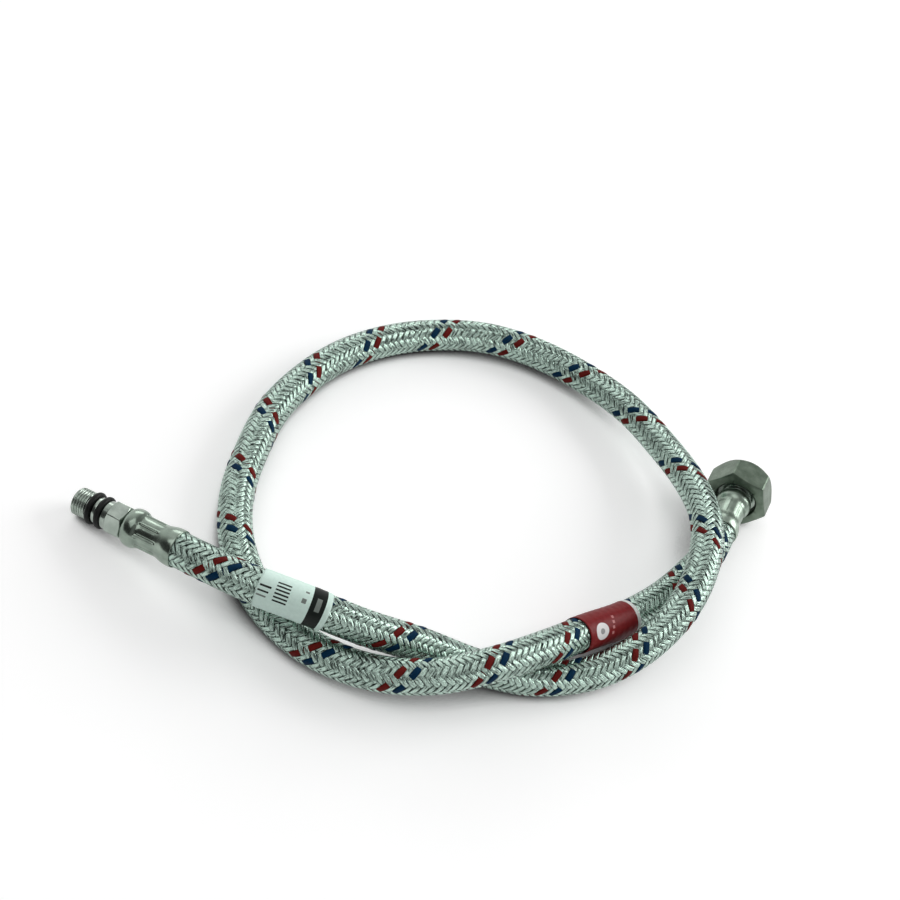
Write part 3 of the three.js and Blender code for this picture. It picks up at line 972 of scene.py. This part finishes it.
def ferrule(name, mouth, axes, ridge_share, metal):
    """A crimped sleeve: two rings, and a waist with a ridge between every two jaws.

    ridge_share scales the ridges, which hardly show at the nut's end.
    """
    angles = even_angles(FERRULE_SIDES)
    per_ridge = 2 * math.pi / RIDGE_COUNT
    off = (angles + per_ridge) % per_ridge
    reach = (off - per_ridge / 2) * WAIST_RADIUS
    ridge = np.exp(-((reach / RIDGE_WIDTH) ** 2)) * (RIDGE_HEIGHT + RIDGE_GROOVE)
    groove_width = RIDGE_GROOVE_SPREAD * RIDGE_WIDTH
    ridge -= np.exp(-((reach / groove_width) ** 2)) * RIDGE_GROOVE
    ridge *= ridge_share
    rows = [
        (RING_RADIUS - FERRULE_WALL, FERRULE_BACK + 0.12),
        (RING_RADIUS - FERRULE_WALL + 0.08, FERRULE_BACK + 0.02),
        (RING_RADIUS - 0.3, FERRULE_BACK),
        (RING_RADIUS - 0.14, FERRULE_BACK + 0.12),
    ]
    places = np.concatenate([np.linspace(*run) for run in FERRULE_RUNS])
    for z, radius in zip(places, smooth_through(FERRULE_OUTLINE, places)):
        rise = (z - WAIST_BACK + RIDGE_FADE) / RIDGE_FADE
        fall = (WAIST_FRONT + RIDGE_FADE - z) / RIDGE_FADE
        fade = min(max(min(rise, fall), 0.0), 1.0)
        rows.append((radius + ridge * fade * fade * (3 - 2 * fade), z))
    lip_back = FERRULE_FRONT - LIP_THICKNESS
    rows += [
        (LIP_RADIUS + 0.15, FERRULE_FRONT),
        (LIP_RADIUS, FERRULE_FRONT - 0.15),
        (LIP_RADIUS, lip_back),
        (RING_RADIUS - 2 * FERRULE_WALL, lip_back),
        (RING_RADIUS - FERRULE_WALL, lip_back - 1.0),
        (RING_RADIUS - FERRULE_WALL - 0.1, FRONT_RING_INSIDE),
        (WAIST_RADIUS - FERRULE_WALL, WAIST_FRONT),
        (WAIST_RADIUS - FERRULE_WALL, WAIST_BACK),
        (RING_RADIUS - FERRULE_WALL - 0.1, BACK_RING_INSIDE),
    ]
    piece = turned_piece(name, rows, angles, mouth, axes, metal)
    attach(piece, "hose")
    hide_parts(name.replace("_sleeve", "_ferrule"))
    return piece


def tail_body(mouth, axes):
    angles = hexagon_angles(FITTING_SIDES, HEX_TURN)
    front_groove = REAR_GROOVE + GROOVE_WIDTH + LAND_LENGTH
    rows = rounded(insert_corners() + [(NECK_RADIUS, HEX_BACK, 0), (HEX_APOTHEM, HEX_BACK, 0)])
    rows = rows[:-1]
    back = (HEX_BACK, HEX_APOTHEM - HEX_BEVEL, HEX_BEVEL_SLOPE)
    front = (HEX_FRONT, HEX_APOTHEM - HEX_BEVEL, HEX_BEVEL_SLOPE)
    rows += hexagon_rows(
        angles, HEX_APOTHEM, HEX_CORNER, HEX_TURN, back, front, HEX_EDGE_BREAK
    )
    between = [
        (COLLAR_RADIUS, HEX_FRONT, 0.12),
        (COLLAR_RADIUS, REAR_GROOVE, 0.25),
        (GROOVE_RADIUS, REAR_GROOVE, 0.15),
        (GROOVE_RADIUS, REAR_GROOVE + GROOVE_WIDTH, 0.15),
        (LAND_RADIUS, REAR_GROOVE + GROOVE_WIDTH, 0.25),
        (LAND_RADIUS, front_groove, 0.25),
        (GROOVE_RADIUS, front_groove, 0.15),
        (GROOVE_RADIUS, THREAD_START, 0.15),
        (TAIL_THREAD_RADIUS - TAIL_THREAD_DEPTH, THREAD_START, 0.1),
        (TAIL_THREAD_RADIUS - TAIL_THREAD_DEPTH, THREAD_START + 0.3, 0),
    ]
    rows += rounded([(HEX_APOTHEM, HEX_FRONT, 0)] + between)[1:]
    rows += thread_rows(
        angles, THREAD_START + 0.35, TAIL_TIP - 0.7, TAIL_THREAD_RADIUS,
        TAIL_THREAD_DEPTH, TAIL_THREAD_PITCH, -1, TAIL_THREAD_STEP,
    )
    rows += [
        (TAIL_THREAD_RADIUS - 0.62, TAIL_TIP - 0.12),
        (TAIL_THREAD_RADIUS - 0.8, TAIL_TIP),
        (BORE + 0.3, TAIL_TIP),
        (BORE + 0.05, TAIL_TIP - 0.2),
        (BORE, TAIL_TIP - 0.4),
    ]
    piece = turned_piece("tail_body", rows, angles, mouth, axes, plated)
    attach(piece, "hose")
    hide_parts("tail_fitting")
    return piece


def ring_piece(name, node, z, mouth, axes):
    angles = even_angles(FITTING_SIDES)
    rows = []
    for step in range(O_RING_SIDES):
        turn = 2 * math.pi * step / O_RING_SIDES
        reach = O_RING_SECTION * math.cos(turn)
        rows.append((O_RING_RADIUS + reach, z + O_RING_SECTION * math.sin(turn)))
    piece = turned_piece(name, rows, angles, mouth, axes, seal_rubber)
    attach(piece, "hose")
    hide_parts(node)
    return piece


def nipple(mouth, axes):
    corners = insert_corners() + [
        (NECK_RADIUS, HEX_BACK, 0.05),
        (NIPPLE_NECK, HEX_BACK, 0.3),
        (NIPPLE_NECK, FLANGE_BACK, 0.2),
        (FLANGE_RADIUS, FLANGE_BACK, 0.3),
        (FLANGE_RADIUS, FLANGE_FRONT, 0.3),
        (BORE, FLANGE_FRONT, 0.3),
    ]
    profile = rounded(corners)
    piece = turned_piece("nipple", profile, even_angles(FITTING_SIDES), mouth, axes, plated)
    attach(piece, "hose")
    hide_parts("nut_nipple")
    return piece


def washer(mouth, axes):
    corners = [
        (WASHER_HOLE, WASHER_BACK, 0.25),
        (FLANGE_RADIUS, WASHER_BACK, 0.25),
        (FLANGE_RADIUS, WASHER_FRONT, 0.25),
        (WASHER_HOLE, WASHER_FRONT, 0.25),
    ]
    profile = rounded(corners)
    angles = even_angles(FITTING_SIDES)
    piece = turned_piece("washer", profile, angles, mouth, axes, washer_fibre)
    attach(piece, "hose")
    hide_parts("sealing_washer")
    return piece


def swivel_nut(mouth, axes):
    angles = hexagon_angles(NUT_SIDES, 0.0)
    socket_back = NUT_BACK + NUT_BACK_WALL
    front_slope = math.tan(math.radians(NUT_BEVEL_ANGLE))
    rows = [
        (NUT_HOLE, NUT_BACK + NUT_HOLE_BEVEL + 0.2),
        (NUT_HOLE + 0.04, NUT_BACK + NUT_HOLE_BEVEL),
        (NUT_HOLE + NUT_HOLE_BEVEL - 0.06, NUT_BACK + 0.1),
        (NUT_HOLE + NUT_HOLE_BEVEL + 0.06, NUT_BACK),
    ]
    back = (NUT_BACK, NUT_APOTHEM - NUT_BACK_BEVEL, NUT_BACK_BEVEL_SLOPE)
    front = (NUT_FRONT, NUT_FRONT_RADIUS - NUT_FRONT_EASE, front_slope)
    rows += hexagon_rows(angles, NUT_APOTHEM, NUT_CORNER, 0.0, back, front, NUT_EDGE_BREAK)
    mouth_radius = NUT_SOCKET + NUT_MOUTH_BEVEL
    rows += [
        (mouth_radius + 0.08, NUT_FRONT),
        (mouth_radius - 0.08, NUT_FRONT - 0.1),
    ]
    cut = thread_rows(
        angles, NUT_THREAD_START, NUT_FRONT - 1.0, NUT_SOCKET,
        NUT_THREAD_DEPTH, NUT_THREAD_PITCH, 1, NUT_THREAD_STEP,
    )
    rows += cut[::-1]
    rows += [(NUT_SOCKET, socket_back + 0.3), (NUT_SOCKET - 0.3, socket_back)]
    rows += [(NUT_HOLE + 0.1, socket_back), (NUT_HOLE, socket_back - 0.1)]
    piece = turned_piece("nut_body", rows, angles, mouth, axes, nut_metal)
    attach(piece, "nut")
    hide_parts("swivel_nut")
    return piece


def wrap_label(name, node, slot_name, low, high, origin, material):
    """A strip of paper wrapped once round the hose, its end lapped over its start.

    low and high are its ends along the hose, and origin is where its v starts.
    """
    turns = np.linspace(0, FULL_TURN + LABEL_OVERLAP, LABEL_COLUMNS)
    along = np.linspace(low, high, LABEL_ROWS)
    risen = (turns - LABEL_OVERLAP * LAP_START_SHARE) / LAP_RISE_TURN
    lift = LABEL_THICKNESS * LAP_LIFT * np.clip(risen, 0, 1)
    grid_turn, grid_along = np.meshgrid(turns, along)
    wrinkle = WRINKLE_HEIGHT * np.sin(grid_along * WRINKLE_RUN + np.radians(grid_turn) * 2)
    radius = LABEL_RADIUS + np.broadcast_to(lift, grid_turn.shape) + wrinkle
    layers = []
    for extra in (LABEL_THICKNESS, 0.0):
        angle = np.radians(grid_turn + LABEL_SEAM)
        layers.append(hose.point(grid_along, angle, radius + extra).reshape(-1, 3))
    rows, columns = grid_turn.shape
    count = rows * columns
    faces = []
    for row in range(rows - 1):
        for column in range(columns - 1):
            a = row * columns + column
            quad = (a, a + columns, a + columns + 1, a + 1)
            faces.append(quad)
            faces.append(tuple(corner + count for corner in quad[::-1]))
    rim = list(range(columns))
    rim += [row * columns + columns - 1 for row in range(1, rows)]
    rim += [(rows - 1) * columns + column for column in range(columns - 2, -1, -1)]
    rim += [row * columns for row in range(rows - 2, 0, -1)]
    for k, corner in enumerate(rim):
        after = rim[(k + 1) % len(rim)]
        faces.append((corner, after, after + count, corner + count))
    shown = (grid_turn + LABEL_SEAM - FULL_TURN) / FULL_TURN
    place_along = (grid_along - origin) / LABEL_V_SPAN
    uvs = np.stack([shown, place_along], axis=-1).reshape(-1, 2)
    piece = mesh_piece(name, np.vstack(layers), faces, material, np.vstack([uvs, uvs]))
    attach(piece, "hose")
    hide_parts(node)
    return piece


tail_axes = fitting_axes(tail_direction)
nut_axes = fitting_axes(NUT_DIRECTION)
rear_ring = REAR_GROOVE + GROOVE_WIDTH / 2
front_ring = rear_ring + GROOVE_WIDTH + LAND_LENGTH
tail_pieces = [
    ferrule("tail_sleeve", tail_mouth, tail_axes, TAIL_RIDGES, crimped),
    tail_body(tail_mouth, tail_axes),
    ring_piece("o_ring_rear", "tail_o_ring_rear", rear_ring, tail_mouth, tail_axes),
    ring_piece("o_ring_front", "tail_o_ring_front", front_ring, tail_mouth, tail_axes),
]
ferrule("nut_sleeve", nut_mouth, nut_axes, NUT_RIDGES, crimped_dull_lit)
nipple(nut_mouth, nut_axes)
washer(nut_mouth, nut_axes)
swivel_nut(nut_mouth, nut_axes)
labels = [
    wrap_label(
        "label_white", "white_label", "white_paper", *WHITE_LABEL_ENDS, 0.0, white_paper
    ),
    wrap_label(
        "label_red", "red_label", "red_paper", *RED_LABEL_ENDS, RED_LABEL_ORIGIN, red_paper
    ),
]

tube = rubber_tube()
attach(tube, "hose")
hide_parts("inner_tube")


# Camera, at the photograph's angle

CAMERA_PLACE = Vector((36.415, -422.32, 467.57)) * MM
CAMERA_ELEVATION = 46.0
CAMERA_AZIMUTH = 6.1
CAMERA_ROLL = 26.3
CAMERA_LENS = 67.68

elevation = math.radians(CAMERA_ELEVATION)
azimuth = math.radians(CAMERA_AZIMUTH)
forward = Vector(
    (
        -math.sin(azimuth) * math.cos(elevation),
        math.cos(azimuth) * math.cos(elevation),
        -math.sin(elevation),
    )
)
level = Vector((math.cos(azimuth), math.sin(azimuth), 0))
above = level.cross(forward)
roll = math.radians(CAMERA_ROLL)
right = level * math.cos(roll) + above * math.sin(roll)
top = above * math.cos(roll) - level * math.sin(roll)
camera_data = bpy.data.cameras.new("camera")
camera_data.lens = CAMERA_LENS
camera_data.sensor_width = 36.0
camera_data.clip_start = 0.01
camera_data.clip_end = 50.0
camera = bpy.data.objects.new("camera", camera_data)
bpy.context.scene.collection.objects.link(camera)
turn = Matrix((right, top, -forward)).transposed()
camera.matrix_world = Matrix.Translation(CAMERA_PLACE) @ turn.to_4x4()
bpy.context.scene.camera = camera


# Floor, lamps and world

FLOOR_HALF = 4.0
FLOOR_ROUGHNESS = 0.9
FLOOR_ALBEDO = 0.9
# How much light of its own the floor shows to the camera and in reflections
FLOOR_LIFT = 0.3
# Painted shade: in deep gaps between strands the floor's colour and glow go dark. How far
# round a point is looked, in metres, and the shares of open sky at which the floor is fully
# dark and fully light
FLOOR_GAP_REACH = 0.035
FLOOR_GAP_SAMPLES = 16
FLOOR_GAP_DARK = 0.22
FLOOR_GAP_OPEN = 0.5

floor_mesh = bpy.data.meshes.new("floor")
floor_corners = [
    (x * FLOOR_HALF, y * FLOOR_HALF, cad_low.z)
    for x, y in ((-1, -1), (1, -1), (1, 1), (-1, 1))
]
floor_mesh.from_pydata(floor_corners, [], [(0, 1, 2, 3)])
floor_material, floor_nodes, floor_links, floor_shader = new_material("floor")
floor_shader.inputs["Roughness"].default_value = FLOOR_ROUGHNESS
floor_shader.inputs["Specular IOR Level"].default_value = 0.0
seen = floor_nodes.new("ShaderNodeLightPath")
showing = seen.outputs["Is Camera Ray"]
for kind in ("Is Glossy Ray", "Is Transmission Ray"):
    showing = math_node(floor_nodes, floor_links, "MAXIMUM", showing, seen.outputs[kind])
nearby = floor_nodes.new("ShaderNodeAmbientOcclusion")
nearby.samples = FLOOR_GAP_SAMPLES
nearby.inputs["Distance"].default_value = FLOOR_GAP_REACH
seen_level = math_node(floor_nodes, floor_links, "MULTIPLY", showing, FLOOR_LIFT)
# How open the floor is round each point; it paints shade into the floor's glow and colour
painted_shade_openness = math_node(
    floor_nodes, floor_links, "SUBTRACT", nearby.outputs["AO"], FLOOR_GAP_DARK
)
painted_shade_openness = math_node(
    floor_nodes, floor_links, "DIVIDE", painted_shade_openness, FLOOR_GAP_OPEN - FLOOR_GAP_DARK
)
painted_shade_openness.node.use_clamp = True
seen_level = math_node(floor_nodes, floor_links, "MULTIPLY", seen_level, painted_shade_openness)
floor_shader.inputs["Emission Color"].default_value = (1.0, 1.0, 1.0, 1)
floor_links.new(seen_level, floor_shader.inputs["Emission Strength"])
floor_shade = floor_nodes.new("ShaderNodeCombineColor")
# Painted shade: the floor's colour darkens in the gaps
floor_albedo_painted_shade = math_node(floor_nodes, floor_links, "MULTIPLY", painted_shade_openness, FLOOR_ALBEDO)
for channel in floor_shade.inputs:
    floor_links.new(floor_albedo_painted_shade, channel)
floor_links.new(floor_shade.outputs[0], floor_shader.inputs["Base Color"])
floor_mesh.materials.append(floor_material)
floor = bpy.data.objects.new("floor", floor_mesh)
bpy.context.scene.collection.objects.link(floor)


def soft_lamp(name, place, width, height, power):
    """A rectangular lamp that faces the middle of the floor, in metres and watts."""
    data = bpy.data.lights.new(name, "AREA")
    data.shape = "RECTANGLE"
    data.size = width
    data.size_y = height
    data.energy = power
    lamp = bpy.data.objects.new(name, data)
    lamp.location = place
    lamp.rotation_mode = "QUATERNION"
    lamp.rotation_quaternion = (-Vector(place)).to_track_quat("-Z", "Y")
    bpy.context.scene.collection.objects.link(lamp)


soft_lamp("key", (0.95, 0.95, 0.72), 0.9, 0.8, 11.0)
soft_lamp("back", (-0.55, 1.3, 0.6), 1.0, 0.5, 3.0)
soft_lamp("fill", (-0.45, -0.5, 1.4), 1.2, 1.2, 5.5)

# A pale studio, a little brighter on the left and near the horizon, and darker behind the
# camera, where its stand and the room are
HORIZON_LEVEL = 0.72
ZENITH_LEVEL = 0.3
LEFT_LEVEL = 0.5
LEFT_SIDE = (-0.8, 0.35, 0.5)
LEFT_EDGES = (0.6, 0.98)
ROOM_SHADE = 0.88
ROOM_SIDE = (-0.5, -0.8, 0.15)
ROOM_EDGES = (0.1, 0.9)

world = bpy.data.worlds.new("world")
bpy.context.scene.world = world
world.use_nodes = True
world_nodes = world.node_tree.nodes
world_links = world.node_tree.links
background = world_nodes["Background"]
world_place = world_nodes.new("ShaderNodeTexCoord")
world_split = world_nodes.new("ShaderNodeSeparateXYZ")
background.inputs["Color"].default_value = (1.0, 1.0, 1.0, 1)
world_links.new(world_place.outputs["Generated"], world_split.inputs[0])


def world_side(direction, low, high):
    """How far the world's direction lies towards a side, from 0 at low to 1 at high."""
    dot = world_nodes.new("ShaderNodeVectorMath")
    dot.operation = "DOT_PRODUCT"
    dot.inputs[1].default_value = Vector(direction).normalized()
    world_links.new(world_place.outputs["Generated"], dot.inputs[0])
    span = world_nodes.new("ShaderNodeMapRange")
    span.interpolation_type = "SMOOTHSTEP"
    span.inputs["From Min"].default_value = low
    span.inputs["From Max"].default_value = high
    world_links.new(dot.outputs["Value"], span.inputs["Value"])
    return span.outputs[0]


upwards = world_split.outputs[2]
rise = ZENITH_LEVEL - HORIZON_LEVEL
height_level = math_node(
    world_nodes, world_links, "MULTIPLY_ADD", upwards, rise, HORIZON_LEVEL
)
left_side = world_side(LEFT_SIDE, *LEFT_EDGES)
left_level = math_node(world_nodes, world_links, "MULTIPLY", left_side, LEFT_LEVEL)
lit_level = math_node(world_nodes, world_links, "ADD", height_level, left_level)
room_side = world_side(ROOM_SIDE, *ROOM_EDGES)
shade_level = math_node(
    world_nodes, world_links, "MULTIPLY_ADD", room_side, -ROOM_SHADE, 1.0
)
world_level = math_node(world_nodes, world_links, "MULTIPLY", lit_level, shade_level)
world_links.new(world_level, background.inputs["Strength"])

bpy.context.scene.view_settings.view_transform = "Standard"
